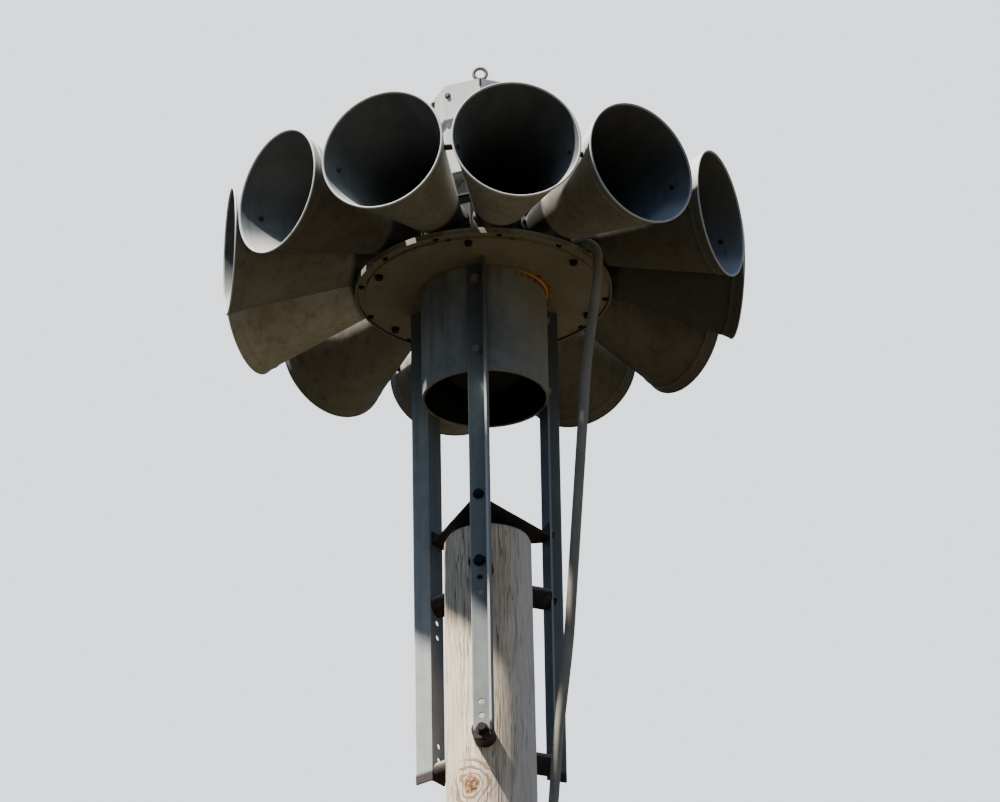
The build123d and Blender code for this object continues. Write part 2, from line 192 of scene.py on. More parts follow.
# %% [markdown]
# ## The pole
# A real pole is a tapered trunk that has stood in the weather: it is slightly out of round,
# it has long drying checks where it split, and knots that the grain flows round. A plain cone
# with a wood picture would look like plastic. Here the checks and knots are carved into the
# surface, and the same sums give the material its grain coordinates, so colour and relief
# agree.

# %% Knots and checks, and where they are
pole_random = np.random.default_rng(12)
knot_azimuth = np.array([-34.0, 70.0, 160.0, 250.0, 20.0, 300.0, 118.0, 205.0, -60.0])
knot_height = np.array([9.601, 9.93, 9.75, 9.35, 8.4, 7.5, 6.1, 4.6, 3.1])
knot_size = np.array([0.0245, 0.012, 0.017, 0.02, 0.022, 0.018, 0.024, 0.02, 0.023])
check_count = 26
check_azimuth = pole_random.uniform(-180, 180, check_count)
check_middle = np.linspace(0.8, 10.1, check_count)
check_half = pole_random.uniform(0.35, 1.3, check_count)
check_width = pole_random.uniform(0.0018, 0.0038, check_count)
check_depth = pole_random.uniform(0.004, 0.011, check_count)
grain_twist = 3.0
knot_rise, knot_groove = 0.0022, 0.0014
no_knot = 9.0


def wrap(angle):
    """Angle in degrees, brought between -180 and 180."""
    return (angle + 180.0) % 360.0 - 180.0


# %% The pole's surface
pole_columns = 360
low_rows, high_rows = 84, 150
pole_heights = np.concatenate(
    [np.linspace(0, 9.2, low_rows, endpoint=False), np.linspace(9.2, pole_top, high_rows)]
)
pole_azimuths = np.arange(pole_columns) * 360.0 / pole_columns
Z, A = np.meshgrid(pole_heights, pole_azimuths, indexing="ij")


def taper(height):
    """Pole radius at a height: a straight line from foot to top."""
    return pole_foot_radius + (pole_top_radius - pole_foot_radius) * height / pole_top


def check_depths(azimuth, height):
    """Depth of the drying checks: for each check, depth times a bell across its line times a
    smooth rise and fall along it. Its line drifts with the grain's twist and two slow waves."""
    depth = np.zeros_like(height)
    for k in range(check_count):
        line = check_azimuth[k] + grain_twist * (height - check_middle[k])
        line = line + 1.1 * np.sin(3.1 * height + k) + 0.5 * np.sin(9.7 * height + 2 * k)
        arc = np.radians(wrap(azimuth - line)) * taper(height)
        along = np.clip(1 - ((height - check_middle[k]) / check_half[k]) ** 2, 0, 1)
        bell = np.exp(-((arc / check_width[k]) ** 2))
        depth = np.maximum(depth, check_depth[k] * bell * along**0.5)
    return depth


def knot_fields(azimuth, height):
    """Three fields of the knots: distance to the nearest knot in knot sizes; the relief in
    metres, a bell of that distance less a narrow groove at the knot's edge; and the azimuth of
    the grain line, shifted across by a taller bell so that it flows round the knots."""
    nearest = np.full_like(height, no_knot)
    relief = np.zeros_like(height)
    shift = np.zeros_like(height)
    for a, h, size in zip(knot_azimuth, knot_height, knot_size):
        across = np.radians(wrap(azimuth - a)) * taper(height)
        away = np.hypot(across, (height - h) / 1.15) / size
        around = np.hypot(across, (height - h) / 2.4) / size
        nearest = np.minimum(nearest, away)
        relief += knot_rise * np.exp(-(away**2) / 2.2)
        relief -= knot_groove * np.exp(-((away - 1.05) ** 2) / 0.03)
        shift += np.degrees(across * np.exp(-(around**2) * 0.7) / taper(height))
    return nearest, relief, azimuth - shift


checks = check_depths(A, Z)
knots, knot_relief, grain_azimuth = knot_fields(A, Z)
slow = np.radians(A)
out_of_round = 0.0005 * np.sin(3 * slow + 0.8 * Z) + 0.0004 * np.sin(7 * slow - 1.7 * Z + 1)
inside_cad = 0.0009
radius = taper(Z) - inside_cad + out_of_round + knot_relief - checks
worn_height, worn_depth = 0.012, 0.004
top_edge = np.clip((Z - pole_top + worn_height) / worn_height, 0, 1)
radius = radius - worn_depth * top_edge**2
pole_points = radius[..., None] * outward(A) + Z[..., None] * up_z

# %% End grain, caps and the finished pole
rim = pole_points[-1]
shares = np.linspace(0.9, 0.1, 8)
end_rows = np.stack([rim * [s, s, 1] for s in shares])
end_azimuths = np.broadcast_to(A[-1], (len(shares), pole_columns))
end_cracks = np.maximum(0, np.cos(np.radians(end_azimuths * 7 + 30))) ** 12
end_rows[..., 2] -= 0.003 * end_cracks * shares[:, None]
rows = pole_points.shape[0] + len(shares)
all_points = np.concatenate([pole_points, end_rows]).reshape(-1, 3)
top_middle, foot_middle = len(all_points), len(all_points) + 1
all_points = np.concatenate([all_points, [[0, 0, pole_top]], [[0, 0, 0]]])
pole_faces = [
    grid_quads(rows, pole_columns),
    cap_triangles((rows - 1) * pole_columns, pole_columns, top_middle),
    cap_triangles(0, pole_columns, foot_middle, reverse=True),
]
grain_round = taper(Z)[..., None] * outward(grain_azimuth - grain_twist * Z)
grain_place = grain_round + Z[..., None] * up_z
side_fields = {
    "grain_place": np.concatenate([grain_place.reshape(-1, 3), end_rows.reshape(-1, 3)]),
    "knot": np.concatenate([knots.ravel(), np.full(end_rows[..., 0].size, no_knot)]),
    "crack": np.concatenate([(checks / 0.008).ravel(), end_cracks.ravel() * 0.6]),
    "end_grain": np.concatenate([np.zeros(Z.size), np.ones(end_rows[..., 0].size)]),
}
middle_fields = {
    "grain_place": all_points[-2:],
    "knot": [no_knot, no_knot],
    "crack": [0, 0],
    "end_grain": [1, 1],
}
pole_fields = {
    field: np.concatenate([values, np.asarray(middle_fields[field], float)])
    for field, values in side_fields.items()
}
pole_piece = make_piece(
    "pole_wood", all_points, pole_faces, True, "weathered_wood", ["pole"], **pole_fields
)

# %% [markdown]
# ## The horns
# Twelve spun cones of sheet metal, each with a rolled lip, a swaged bead behind it and a
# bolting flange at the drum. A spun part is a profile turned round an axis, so the profile is
# written once as a closed loop of (along, radius) points and turned by an angle. Each horn
# also keeps its own coordinates as an attribute, so that dirt follows the horn and not the
# world.

# %% The horn's profile as a closed loop
horn_radius_out = (horn_box[1].z - horn_box[0].z) / 2
lip_radius = 0.003
bead_radius = 0.0025
wall = 0.0026
mouth_radius = horn_radius_out - lip_radius - wall
throat_radius = 0.046
slope = (mouth_radius - throat_radius) / (mouth_from_axis - drum_face)
flange_width, flange_thick = 0.013, 0.005
flange_radius = throat_radius + wall + flange_width
flange_end = drum_face + flange_thick


def inner_radius(along):
    """Inner radius of the cone: the mouth's radius less the slope times the way back."""
    return mouth_radius - (mouth_from_axis - along) * slope


def arc(centre_along, centre_radius, size, start, end, count):
    """Points of a circle's arc in the profile plane, by angle in degrees from +along."""
    t = np.radians(np.linspace(start, end, count))
    return np.stack([centre_along + size * np.cos(t), centre_radius + size * np.sin(t)], axis=-1)


def line(a, b, count):
    """Evenly spaced points from a towards b, without b itself."""
    t = np.linspace(0, 1, count, endpoint=False)[:, None]
    return np.asarray(a) * (1 - t) + np.asarray(b) * t


lean_angle = np.degrees(np.arctan(slope))
lip_along = mouth_from_axis - lip_radius
bead_along = mouth_from_axis - 0.034
inside_end = mouth_from_axis - 0.004
inside = line((drum_face, throat_radius), (inside_end, inner_radius(inside_end)), 26)
lip = arc(lip_along, mouth_radius + wall, lip_radius, -62, 180 + lean_angle - 20, 15)
bead = arc(bead_along, inner_radius(bead_along) + wall, bead_radius, 40, 165, 7)
back_start = (bead[-1][0] - 0.002, inner_radius(bead[-1][0] - 0.002) + wall)
between = line(lip[-1] - [0.001, -0.0002], bead[0] + [0.001, 0.0], 3)
back = line(back_start, (flange_end, inner_radius(flange_end) + wall), 22)
flange = np.array(
    [
        (flange_end, inner_radius(flange_end) + wall),
        (flange_end, flange_radius - 0.001),
        (flange_end - 0.001, flange_radius),
        (drum_face, flange_radius),
    ]
)
profile = np.concatenate([inside, lip, between, bead, back, flange])
lip_points_inside = 6
inner_share = (np.arange(len(profile)) < len(inside) + lip_points_inside).astype(float)
print("horn profile points", len(profile))

# %% Turn the profile round each horn's axis
horn_columns = 120
horn_angles = np.radians(np.arange(horn_columns) * 360.0 / horn_columns)
horn_random = np.random.default_rng(5)


def dents(along, angle, waves):
    """Shallow out-of-round of a spun cone: slow waves round it that fade at both ends."""
    share = np.clip((along - drum_face) / (mouth_from_axis - drum_face), 0, 1)
    fade = np.clip(share * (1 - share) * 4, 0, 1)
    swell = waves[0] * np.cos(2 * angle + waves[1]) + waves[2] * np.cos(3 * angle + 9 * share)
    return fade * (swell - abs(waves[0]) - abs(waves[2]))


# How much of its colour each horn's underside keeps; the rest is painted nearly black as shade.
underside_lit_share = [0.67, 0.50, 0.23, 0.15, 0.28, 0.27, 0.55, 0.43, 1.0, 0.45, 0.22, 0.45]
horn_pieces = []
for number, (azimuth, underside_lit) in enumerate(zip(horn_azimuths, underside_lit_share), start=1):
    waves = horn_random.uniform([0.0003, 0, 0.0002], [0.0009, 6.28, 0.0006])
    S, T = np.meshgrid(profile[:, 0], horn_angles, indexing="ij")
    R = np.broadcast_to(profile[:, 1:], S.shape) + dents(S, T, waves)
    side, height = R * np.sin(T), R * np.cos(T)
    direction, across = outward(azimuth), outward(azimuth + 90)
    points = S[..., None] * direction + side[..., None] * across + height[..., None] * up_z
    points = points + ring_centre
    place = np.stack([S, side, height], axis=-1) + [number * 1.7, number * 0.9, 0]
    fields = {
        "horn_place": place.reshape(-1, 3),
        "inner": np.repeat(inner_share, horn_columns),
        "from_mouth": (mouth_from_axis - S).ravel(),
        "upness": (height / R).ravel(),
        "underside_lit_share": np.full(S.size, underside_lit),
    }
    faces = [grid_quads(len(profile), horn_columns, close_rows=True)]
    node = f"horn_{number:02d}"
    skin = make_piece(f"{node}_skin", points, faces, True, "horn_paint", [node], **fields)
    horn_pieces.append(skin)

# %% [markdown]
# ## Bolts, nuts and screws
# The tower has well over a hundred fasteners. One bolt head with its washer is worked out
# once: a disc, then a hexagon, cut by a cone for the chamfer. One object for each would crowd
# the scene, so arrays of places and directions copy it, and each set is one mesh.


# %% One bolt head, and many copies of it
def bolt_head(across_flats, head, washer, washer_thick, columns=24):
    """Rows of points along the bolt's axis: washer, hexagon and chamfer. With f the angle from
    the nearest flat, the hexagon's radius is across_flats / 2 / cos f, and the chamfer cuts it
    to across_flats / 2 at the top."""
    t = np.radians(np.arange(columns) * 360.0 / columns)
    from_flat = (t + np.pi / 6) % (np.pi / 3) - np.pi / 6
    hexagon = across_flats / 2 / np.cos(from_flat)
    top = washer_thick + head
    rows = [
        (np.full(columns, washer), 0.0),
        (np.full(columns, washer), washer_thick * 0.7),
        (np.full(columns, washer - washer_thick * 0.3), washer_thick),
        (hexagon, washer_thick),
        (hexagon, washer_thick + head * 0.82),
        (np.minimum(hexagon, across_flats / 2), top),
    ]
    points = np.concatenate(
        [np.stack([r * np.cos(t), r * np.sin(t), np.full(columns, z)], axis=-1) for r, z in rows]
    )
    middle = len(points)
    points = np.concatenate([points, [[0, 0, top]], [[0, 0, 0]]])
    top_cap = cap_triangles((len(rows) - 1) * columns, columns, middle)
    foot_cap = cap_triangles(0, columns, middle + 1, reverse=True)
    return points, [grid_quads(len(rows), columns), np.concatenate([top_cap, foot_cap])]


def place_copies(template, faces, places, directions, spins):
    """Copies of a template: its X and Y go along two unit vectors square to each direction,
    turned by each spin, and its Z goes along the direction."""
    places, directions = np.atleast_2d(places), np.atleast_2d(directions)
    helper = np.where(np.abs(directions[:, 2:]) > 0.9, [[1.0, 0, 0]], [[0, 0, 1.0]])
    side = np.cross(helper, directions)
    side /= np.linalg.norm(side, axis=1, keepdims=True)
    other = np.cross(directions, side)
    c, s = np.cos(spins)[:, None], np.sin(spins)[:, None]
    side, other = c * side + s * other, c * other - s * side
    points = (
        places[:, None]
        + template[None, :, 0:1] * side[:, None]
        + template[None, :, 1:2] * other[:, None]
        + template[None, :, 2:3] * directions[:, None]
    )
    steps = np.arange(len(places))[:, None, None] * len(template)
    return points.reshape(-1, 3), [(f[None] + steps).reshape(-1, f.shape[1]) for f in faces]


bolt_random = np.random.default_rng(8)


def bolt_set(name, places, directions, slot, **sizes):
    """One mesh of bolts at places along directions, each turned by its own amount."""
    template, faces = bolt_head(**sizes)
    spins = bolt_random.uniform(0, 1.05, len(places))
    points, all_faces = place_copies(template, faces, places, directions, spins)
    return make_piece(name, points, all_faces, False, slot)


# %% Where the leg bolts go
def on_legs(heights, distance):
    """Places and outward directions at every leg's bolt line, for each height."""
    directions = np.repeat(outward(leg_azimuths), len(heights), axis=0)
    places = directions * distance
    places[:, 2] = np.tile(heights, len(leg_azimuths))
    return places, directions


can_bolts_below_ring = np.array([0.143, 0.361])
spreader_bolt_below_tabs = 0.020
spacers_below_pole_top = np.array([0.142, 0.633])
can_bolt_heights = ring_height - can_bolts_below_ring
spreader_bolt_height = spreader_top_of_tabs - spreader_bolt_below_tabs
spacer_heights = pole_top - spacers_below_pole_top
places, directions = on_legs(can_bolt_heights, leg_outside)
can_bolts = bolt_set(
    "leg_to_can_bolts", places, directions, "leg_paint",
    across_flats=0.021, head=0.010, washer=0.0145, washer_thick=0.0025,
)
places, directions = on_legs([spreader_bolt_height], leg_outside)
spreader_bolts = bolt_set(
    "spreader_bolts", places, directions, "rusty_steel",
    across_flats=0.021, head=0.010, washer=0.0150, washer_thick=0.0028,
)
places, directions = on_legs(spacer_heights, leg_outside)
lag_bolts = bolt_set(
    "spacer_lag_bolts", places, directions, "rusty_steel",
    across_flats=0.022, head=0.013, washer=0.0165, washer_thick=0.003,
)

# %% Bolts under the plates
down = -up_z
plate_bolt_circle, ring_bolt_circle, lid_bolt_circle = 0.308, 0.3365, 0.243
plate_bolt_azimuths = leg_azimuths[0] + np.arange(6) * 60.0
places = outward(plate_bolt_azimuths) * plate_bolt_circle + plate_under * up_z
plate_bolts = bolt_set(
    "motor_plate_bolts", places, np.tile(down, (6, 1)), "plate_paint",
    across_flats=0.019, head=0.009, washer=0.0115, washer_thick=0.002,
)
places = outward(horn_azimuths) * ring_bolt_circle + ring_under * up_z
ring_bolts = bolt_set(
    "base_ring_bolts", places, np.tile(down, (12, 1)), "plate_paint",
    across_flats=0.011, head=0.0045, washer=0.0085, washer_thick=0.0015,
)

# %% Bolts on the drum, the horn flanges, the hood and in the horn mouths
drum_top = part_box("drum_top_plate")[1].z
places = outward(horn_azimuths + 15) * lid_bolt_circle + drum_top * up_z
top_bolts = bolt_set(
    "top_plate_bolts", places, np.tile(up_z, (12, 1)), "housing_paint",
    across_flats=0.013, head=0.006, washer=0.010, washer_thick=0.0018,
)
flange_angles = np.radians(np.arange(6) * 60.0 + 30)
direction = np.repeat(outward(horn_azimuths), 6, axis=0)
across = np.repeat(outward(horn_azimuths + 90), 6, axis=0)
turn_by = np.tile(flange_angles, 12)[:, None]
flange_bolt_circle = flange_radius - 0.0063
places = direction * flange_end + ring_centre
places = places + flange_bolt_circle * (np.sin(turn_by) * across + np.cos(turn_by) * up_z)
flange_bolts = bolt_set(
    "horn_flange_bolts", places, direction, "horn_paint",
    across_flats=0.008, head=0.004, washer=0.0055, washer_thick=0.001, columns=12,
)
screw_behind_mouth = 0.060
screw_along = mouth_from_axis - screw_behind_mouth
screw_signs = np.tile([-1.0, 1.0], 12)[:, None]
direction = np.repeat(outward(horn_azimuths), 2, axis=0)
across = np.repeat(outward(horn_azimuths + 90), 2, axis=0)
lean_of_wall = np.arctan(slope)
inward = -screw_signs * across * np.cos(lean_of_wall) + direction * np.sin(lean_of_wall)
places = direction * screw_along + screw_signs * across * (inner_radius(screw_along) - seat)
places = places + ring_centre
mouth_bolts = bolt_set(
    "horn_tie_bolts", places, inward, "rusty_steel",
    across_flats=0.011, head=0.005, washer=0.0075, washer_thick=0.0015,
)

# %% Screws of the hood's skirt
hood_turn = -8.0
hood_edge_over_ring = 0.506
hood_edge = ring_height + hood_edge_over_ring
facet_azimuths = hood_turn + 22.5 + np.arange(8) * 45.0
hood_corner_radius = 0.1385
facet_from_axis = hood_corner_radius * np.cos(np.radians(22.5))
even_facet = np.arange(8) % 2 == 0
sideways = np.where(even_facet, -0.028, -0.044)
drops = np.where(even_facet, 0.016, 0.033)
places = outward(facet_azimuths) * facet_from_axis
places = places + sideways[:, None] * outward(facet_azimuths + 90)
places[:, 2] = hood_edge - drops
hood_bolts = bolt_set(
    "hood_screws", places[1:], outward(facet_azimuths[1:]), "housing_paint",
    across_flats=0.011, head=0.0055, washer=0.009, washer_thick=0.0015,
)

# %% [markdown]
# ## Weld beads
# The can is welded to its plate. A weld bead is a thin ring whose thickness ripples, so it is
# a circle carried round a circle, with the small radius waving along the way.


# %% The weld round the top of the can
def weld_ring(name, ring_radius, height, size, ripples, slot, steps=480, around=10):
    """Torus: the point at angle u round the tower and v round the bead is
    (R + r cos v) outward plus r sin v up, with r rippling as a rectified sine of u."""
    u = np.arange(steps) * 2 * np.pi / steps
    v = np.arange(around) * 2 * np.pi / around
    U, V = np.meshgrid(u, v, indexing="ij")
    r = size * (0.8 + 0.2 * np.abs(np.sin(U * ripples / 2)) + 0.12 * np.sin(7 * U + 1))
    level = outward(np.degrees(U))
    points = (ring_radius + r * np.cos(V))[..., None] * level
    points = points + (height + r * np.sin(V))[..., None] * up_z
    return make_piece(name, points, [grid_quads(steps, around, close_rows=True)], True, slot)


weld_radius, weld_height = can_radius + 0.0006, plate_under - 0.0012
can_weld = weld_ring("can_weld", weld_radius, weld_height, 0.0040, 96, "plate_paint")

# %% [markdown]
# ## Couplings on the conduit
# Conduit comes in lengths of about three metres, joined by couplings: short sleeves with two
# set screws. Each sleeve is a tube profile turned round the conduit's straight lower run.


# %% Sleeves on the straight run beside the pole
conduit_radius = 0.01375
conduit_off_pole = 0.004
conduit_side = outward(45.0)
join_height = pole_top - 1.388
run_top = conduit_side * (taper(join_height) + conduit_radius + conduit_off_pole)
run_top = run_top + join_height * up_z
run_foot = conduit_side * (pole_foot_radius + conduit_radius + conduit_off_pole)
run = (run_top - run_foot) / np.linalg.norm(run_top - run_foot)
sleeve_profile = np.array(
    [(-0.026, 0.0140), (-0.026, 0.0168), (-0.024, 0.0176), (-0.002, 0.0176), (0.0, 0.0170),
     (0.002, 0.0176), (0.024, 0.0176), (0.026, 0.0168), (0.026, 0.0140)]
)
sleeve_heights = np.array([2.1, 5.1, 8.1])
sleeve_columns = 36
sleeve_angles = np.arange(sleeve_columns) * 2 * np.pi / sleeve_columns
helper = np.cross(run, up_z)
helper /= np.linalg.norm(helper)
other = np.cross(run, helper)
S, T = np.meshgrid(sleeve_profile[:, 0], sleeve_angles, indexing="ij")
R = np.broadcast_to(sleeve_profile[:, 1:], S.shape)
one = (
    S[..., None] * run
    + (R * np.cos(T))[..., None] * helper
    + (R * np.sin(T))[..., None] * other
).reshape(-1, 3)
centres = run_foot + run * (sleeve_heights / run[2])[:, None]
sleeve_points = (centres[:, None] + one[None]).reshape(-1, 3)
one_faces = grid_quads(len(sleeve_profile), sleeve_columns, close_rows=True)
steps = np.arange(len(sleeve_heights))[:, None, None] * len(one)
sleeve_faces = (one_faces[None] + steps).reshape(-1, 4)
sleeves = make_piece("conduit_couplings", sleeve_points, [sleeve_faces], True, "conduit_paint")

# %% [markdown]
# ## Shared effects as node groups
# Old enamel, rust, and a tone for the faces that look down (painted shade under the neck and
# hood) turn up on most pieces, at different strengths. Each effect is a group with named
# sockets that gives out only masks, colours and heights. The shader itself stays in each
# material.
#
# Node trees are hard to read as calls. The class below lets a sum be written as a sum: a * b
# with two node values adds the Math node that multiplies them.


# %% Values that come out of nodes
def add_node(tree, kind, **settings):
    """A node of that kind with its properties set."""
    made = tree.nodes.new(kind)
    for key, value in settings.items():
        setattr(made, key, value)
    return made


def feed(source, socket):
    """Links a value to a socket, or sets a plain number or colour on it."""
    if isinstance(source, Value):
        source.tree.links.new(source.socket, socket)
    elif socket.type == "RGBA":
        socket.default_value = (*source, 1)
    else:
        socket.default_value = source


def tree_of(*sources):
    """The node tree that the first node value among the sources belongs to."""
    return next(source.tree for source in sources if isinstance(source, Value))


def maths(operation, a, b=0.0, clamp=False):
    """Result of one Math node."""
    made = add_node(tree_of(a, b), "ShaderNodeMath", operation=operation, use_clamp=clamp)
    feed(a, made.inputs[0])
    feed(b, made.inputs[1])
    return Value(made.outputs[0])


class Value:
    """An output socket that can stand in sums with numbers and other values."""

    def __init__(self, socket):
        self.socket = socket
        self.tree = socket.id_data

    def __add__(self, other):
        return maths("ADD", self, other)

    def __radd__(self, other):
        return maths("ADD", other, self)

    def __sub__(self, other):
        return maths("SUBTRACT", self, other)

    def __rsub__(self, other):
        return maths("SUBTRACT", other, self)

    def __mul__(self, other):
        return maths("MULTIPLY", self, other)

    def __truediv__(self, other):
        return maths("DIVIDE", self, other)

    def __abs__(self):
        return maths("ABSOLUTE", self)


# %% Helpers that build node trees
def larger(a, b):
    """The larger of two values."""
    return maths("MAXIMUM", a, b)


def hypotenuse(a, b):
    """Square root of a * a + b * b."""
    return maths("SQRT", a * a + b * b)


def noise(place, scale, detail=4.0, rough=0.55, distortion=0.0):
    """Value of one noise texture."""
    made = add_node(place.tree, "ShaderNodeTexNoise")
    feed(place, made.inputs["Vector"])
    feed(scale, made.inputs["Scale"])
    feed(detail, made.inputs["Detail"])
    feed(rough, made.inputs["Roughness"])
    feed(distortion, made.inputs["Distortion"])
    return Value(made.outputs["Fac"])


def ease(value, low, high, out_low=0.0, out_high=1.0):
    """Smooth step of a value from low to high."""
    made = add_node(value.tree, "ShaderNodeMapRange", interpolation_type="SMOOTHSTEP")
    feed(value, made.inputs["Value"])
    feed(low, made.inputs["From Min"])
    feed(high, made.inputs["From Max"])
    feed(out_low, made.inputs["To Min"])
    feed(out_high, made.inputs["To Max"])
    return Value(made.outputs["Result"])


def blend(share, a, b, kind="MIX"):
    """Colour mixed from a to b by a share."""
    made = add_node(tree_of(share, a, b), "ShaderNodeMix", data_type="RGBA", blend_type=kind)
    feed(share, made.inputs["Factor"])
    feed(a, made.inputs["A"])
    feed(b, made.inputs["B"])
    return Value(made.outputs["Result"])


def cover(color, *layers):
    """Colours laid over a first one in turn, each by its own mask."""
    for mask, over in layers:
        color = blend(mask, color, over)
    return color


def stretch(place, factors, turn_z=0.0):
    """Place multiplied by three factors, then turned about Z."""
    made = add_node(place.tree, "ShaderNodeMapping")
    feed(place, made.inputs["Vector"])
    feed((0, 0, turn_z), made.inputs["Rotation"])
    feed(factors, made.inputs["Scale"])
    return Value(made.outputs["Vector"])


def split(vector):
    """X, Y and Z of a vector."""
    made = add_node(vector.tree, "ShaderNodeSeparateXYZ")
    feed(vector, made.inputs[0])
    return [Value(socket) for socket in made.outputs]


def attribute(tree, name, output="Fac"):
    """A field that the piece's mesh carries."""
    return Value(add_node(tree, "ShaderNodeAttribute", attribute_name=name).outputs[output])


def object_place(tree):
    """Object coordinates, which are the frame's own metres."""
    return Value(add_node(tree, "ShaderNodeTexCoord").outputs["Object"])


def from_axis(tree):
    """Distance from the tower's axis."""
    x, y = split(object_place(tree))[:2]
    return hypotenuse(x, y)


def facing(tree):
    """Direction that the surface faces."""
    return Value(add_node(tree, "ShaderNodeNewGeometry").outputs["Normal"])


def start_group(name, inputs, outputs):
    """A new group with named sockets of the given kinds, with _ for a space. Returns the group,
    its inputs as values and its output sockets."""
    group = bpy.data.node_groups.new(name, "ShaderNodeTree")
    for way, sockets in (("INPUT", inputs), ("OUTPUT", outputs)):
        for socket, kind in sockets.items():
            socket_type = f"NodeSocket{kind}"
            group.interface.new_socket(socket.replace("_", " "), in_out=way, socket_type=socket_type)
    source = add_node(group, "NodeGroupInput")
    target = add_node(group, "NodeGroupOutput")
    print("group", name, "gives", *outputs)
    return group, {s.name: Value(s) for s in source.outputs}, target.inputs


def use_group(group, **values):
    """Puts a group into a tree and feeds its sockets by name, with _ for a space."""
    made = add_node(tree_of(*values.values()), "ShaderNodeGroup", node_tree=group)
    for name, value in values.items():
        feed(value, made.inputs[name.replace("_", " ")])
    return {socket.name: Value(socket) for socket in made.outputs}


# %% Old enamel: slow patches, fine grain and run marks
enamel, ins, outs = start_group(
    "old_enamel",
    dict(Place="Vector", Fresh="Color", Faded="Color", Grime="Color", Dirt="Float"),
    dict(Color="Color", Roughness="Float", Height="Float"),
)
patches = noise(ins["Place"], 5.0, 5.0, 0.6, 0.4)
clouds = noise(ins["Place"], 21.0, 5.0, 0.65)
grain = noise(ins["Place"], 420.0, 3.0, 0.6)
speck = noise(ins["Place"], 95.0, 4.0, 0.7)
runs = noise(stretch(ins["Place"], (1.0, 1.0, 0.07)), 46.0, 4.0, 0.6)
faded = ease(patches * 0.6 + clouds * 0.4, 0.38, 0.62)
tone = blend(faded, ins["Fresh"], ins["Faded"])
run_dirt = ease(runs, 0.46, 0.72) * ins["Dirt"]
speck_dirt = ease(speck, 0.56, 0.78) * (ins["Dirt"] * 0.7)
tone = blend(maths("ADD", run_dirt, speck_dirt, clamp=True), tone, ins["Grime"])
light_grain = ease(grain, 0.3, 0.7, 0.9, 1.08)
feed(blend(1.0, tone, light_grain, "MULTIPLY"), outs["Color"])
feed(ease(clouds, 0.3, 0.7, 0.55, 0.74), outs["Roughness"])
feed(clouds * 0.6 + grain * 0.16, outs["Height"])

# %% Rust: where a mask lets it grow
rust, ins, outs = start_group(
    "rust_growth",
    dict(Place="Vector", Near="Float", Base="Color", Spread="Float"),
    dict(Color="Color", Mask="Float", Height="Float"),
)
coarse = noise(ins["Place"], 38.0, 6.0, 0.68, 0.3)
fine = noise(ins["Place"], 240.0, 4.0, 0.6)
reach = ins["Near"] * 0.42 + ins["Spread"] * 0.2
mask = ease(coarse + fine * 0.12 + reach, 0.78, 0.92)
orange = blend(ease(fine, 0.35, 0.65), (0.19, 0.075, 0.022), (0.40, 0.19, 0.055))
brown = blend(ease(coarse, 0.4, 0.62), orange, (0.085, 0.04, 0.02))
feed(blend(mask, ins["Base"], brown), outs["Color"])
feed(mask, outs["Mask"])
feed(mask * (fine + 0.4), outs["Height"])

# %% Bands round the tower, for rust at a joint
band, ins, outs = start_group(
    "ring_band",
    dict(Place="Vector", Radius="Float", Width="Float", Height="Float", Depth="Float"),
    dict(Mask="Float"),
)
x, y, z = split(ins["Place"])
off_radius = (hypotenuse(x, y) - ins["Radius"]) / ins["Width"]
off_height = (z - ins["Height"]) / ins["Depth"]
feed(ease(hypotenuse(off_radius, off_height), 1.0, 0.15), outs["Mask"])

# %% A tone for the faces that look down: painted shade under the neck and hood, a darker warm tone under the horns and plates
under, ins, outs = start_group(
    "underside_dust_and_shade",
    dict(Place="Vector", Base="Color", Dust="Color", Amount="Float"),
    dict(Color="Color"),
)
below = ease(split(facing(under))[2], 0.15, -0.75)
cloud = ease(noise(ins["Place"], 9.0, 5.0, 0.6), 0.3, 0.7, 0.55, 1.0)
feed(blend(below * cloud * ins["Amount"], ins["Base"], ins["Dust"]), outs["Color"])

# %% Rust stain round a bolt on a leg, and a streak below it
stain, ins, outs = start_group(
    "bolt_stain",
    dict(Sideways="Float", Up="Float", Bolt_height="Float", Other="Float"),
    dict(Mask="Float"),
)
halo_radius = 0.022
drop = ins["Up"] - ins["Bolt height"]
halo = ease(hypotenuse(drop / halo_radius, ins["Sideways"] / halo_radius), 1.0, 0.35)
streak = ease(drop, -0.11, -0.01) * ease(drop, 0.01, -0.005)
streak = streak * ease(abs(ins["Sideways"]), 0.011, 0.002)
feed(larger(ins["Other"], larger(halo, streak * 0.35)), outs["Mask"])

# %% [markdown]
# ## Materials
# Every material mixes its own colour from the groups and ends in a Principled shader. Numbers
# that are the same all over are set straight on the shader.


# %% Start and finish of a material
def start_material(name):
    """A new material with a Principled shader. Returns the material, its tree and the shader."""
    material = bpy.data.materials.new(name)
    material.use_nodes = True
    tree = material.node_tree
    tree.nodes.clear()
    shader = add_node(tree, "ShaderNodeBsdfPrincipled")
    output = add_node(tree, "ShaderNodeOutputMaterial")
    tree.links.new(shader.outputs[0], output.inputs[0])
    print("material", name)
    return material, tree, shader


sheet_relief = 0.0006


def finish_material(shader, color, roughness, height, strength, specular, relief=sheet_relief):
    """Feeds the shader: colour, roughness, and a bump from the height field."""
    feed(color, shader.inputs["Base Color"])
    feed(roughness, shader.inputs["Roughness"])
    feed(specular, shader.inputs["Specular IOR Level"])
    bump = add_node(shader.id_data, "ShaderNodeBump")
    feed(strength, bump.inputs["Strength"])
    feed(relief, bump.inputs["Distance"])
    feed(height, bump.inputs["Height"])
    feed(Value(bump.outputs[0]), shader.inputs["Normal"])


